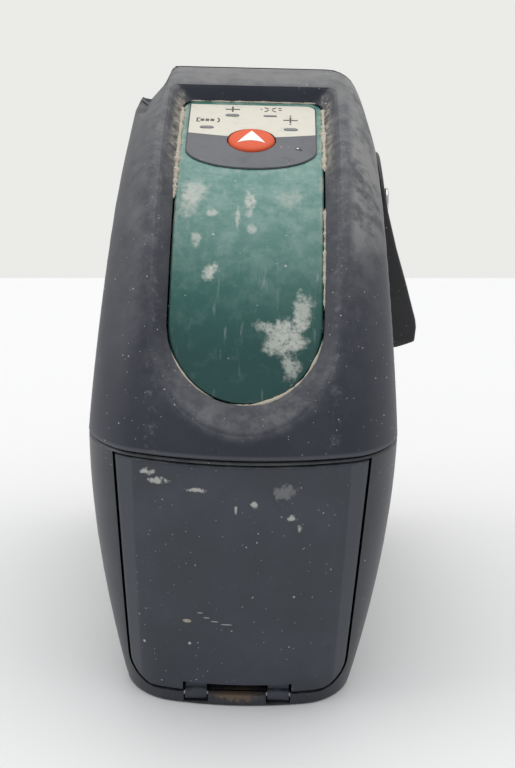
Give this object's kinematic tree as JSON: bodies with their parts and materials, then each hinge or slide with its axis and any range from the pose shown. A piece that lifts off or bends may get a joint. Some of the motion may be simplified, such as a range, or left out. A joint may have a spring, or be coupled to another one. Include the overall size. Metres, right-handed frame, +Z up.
{
  "type": "cross line laser level",
  "caption": "Compact self-levelling cross line laser in a charcoal and green housing, with a gimballed pendulum, lock lever, mode button and hinged battery door.",
  "frame": {"origin": "centre of the flat underside of the base, on the plane the tool stands on", "axes": "+Z up, +Y the way the laser lines leave, -Y towards the user with the control panel and the battery door, +X towards the side with the lock lever"},
  "size_m": [0.0733, 0.1091, 0.124],
  "materials": {
    "charcoal_plastic": "fine matte texture, dusty",
    "lower_plastic": "fine matte texture",
    "door_plastic": "satin",
    "black_gloss": "gloss",
    "green_plastic": "gloss, scratched and stained",
    "label_film": "printed film, satin",
    "red_rubber": "soft satin",
    "lever_plastic": "satin",
    "clear_plastic": "clear",
    "window_glass": "clear, slightly smoked",
    "rubber": "matte",
    "steel": "satin",
    "brass": "satin",
    "copper": "copper sheet, satin",
    "zinc": "die cast, matte",
    "aluminium": "machined",
    "circuit_board": "green solder mask",
    "white_plastic": "satin",
    "cell_wrap": "printed sleeve, no text",
    "magnet": "nickel plated"
  },
  "bodies": {
    "housing": {"upper_housing": "charcoal_plastic", "window_bezel": "black_gloss", "lower_housing": "lower_plastic", "top_insert": "green_plastic", "control_label": "label_film", "mode_switch": "steel", "light_guide": "clear_plastic", "led_battery": "white_plastic", "led_cross": "white_plastic", "led_slope": "white_plastic", "led_plumb": "white_plastic", "main_board": "circuit_board", "window_pane": "window_glass", "window_gasket": "rubber", "lever_seal": "rubber", "power_microswitch": "black_gloss", "chassis": "zinc", "pitch_bearing_left": "brass", "pitch_bearing_right": "brass", "damping_magnet_rear": "magnet", "damping_magnet_front": "magnet", "battery_tray": "charcoal_plastic", "battery_1": "cell_wrap", "battery_2": "cell_wrap", "battery_3": "cell_wrap", "battery_spring_1": "steel", "battery_spring_2": "steel", "battery_spring_3": "steel", "contact_bottom_pair": "steel", "contact_bottom_single": "steel", "contact_top_single": "steel", "contact_top_pair": "steel", "housing_screw_1": "steel", "housing_screw_2": "steel", "housing_screw_3": "steel", "housing_screw_4": "steel", "tripod_insert": "brass", "door_hinge_pin": "steel"},
    "door": {"battery_door": "door_plastic"},
    "lock": {"lock_lever": "lever_plastic", "lever_shaft": "steel", "lever_screw": "steel", "lock_arm": "white_plastic", "lock_pad": "rubber"},
    "button": {"mode_button": "red_rubber"},
    "ring": {"gimbal_ring": "zinc", "pitch_pin_left": "steel", "pitch_pin_right": "steel", "roll_bearing_rear": "brass", "roll_bearing_front": "brass"},
    "pendulum": {"pendulum_body": "aluminium", "damping_plate": "copper", "roll_shaft": "steel", "horizontal_laser": "brass", "vertical_laser": "brass", "horizontal_line_lens": "clear_plastic", "vertical_line_lens": "clear_plastic"}
  },
  "joints": [
    {"name": "door_hinge", "type": "hinge", "parent": "housing", "child": "door", "pos_m": [0, -0.05, 0.0021], "axis": [1, 0, 0], "range_deg": [0, 87]},
    {"name": "lock_turn", "type": "hinge", "parent": "housing", "child": "lock", "pos_m": [0, 0.016, 0.097], "axis": [1, 0, 0], "range_deg": [0, 28]},
    {"name": "button_press", "type": "slide", "parent": "housing", "child": "button", "axis": [0, 0.2785, -0.9604], "range_m": [0, 0.0006], "stiffness_N_per_m": 800},
    {"name": "gimbal_pitch", "type": "hinge", "parent": "housing", "child": "ring", "pos_m": [0, 0.016, 0.097], "axis": [1, 0, 0], "range_deg": [-4, 4]},
    {"name": "gimbal_roll", "type": "hinge", "parent": "ring", "child": "pendulum", "pos_m": [0, 0.016, 0.097], "axis": [0, 1, 0], "range_deg": [-4, 4]}
  ]
}
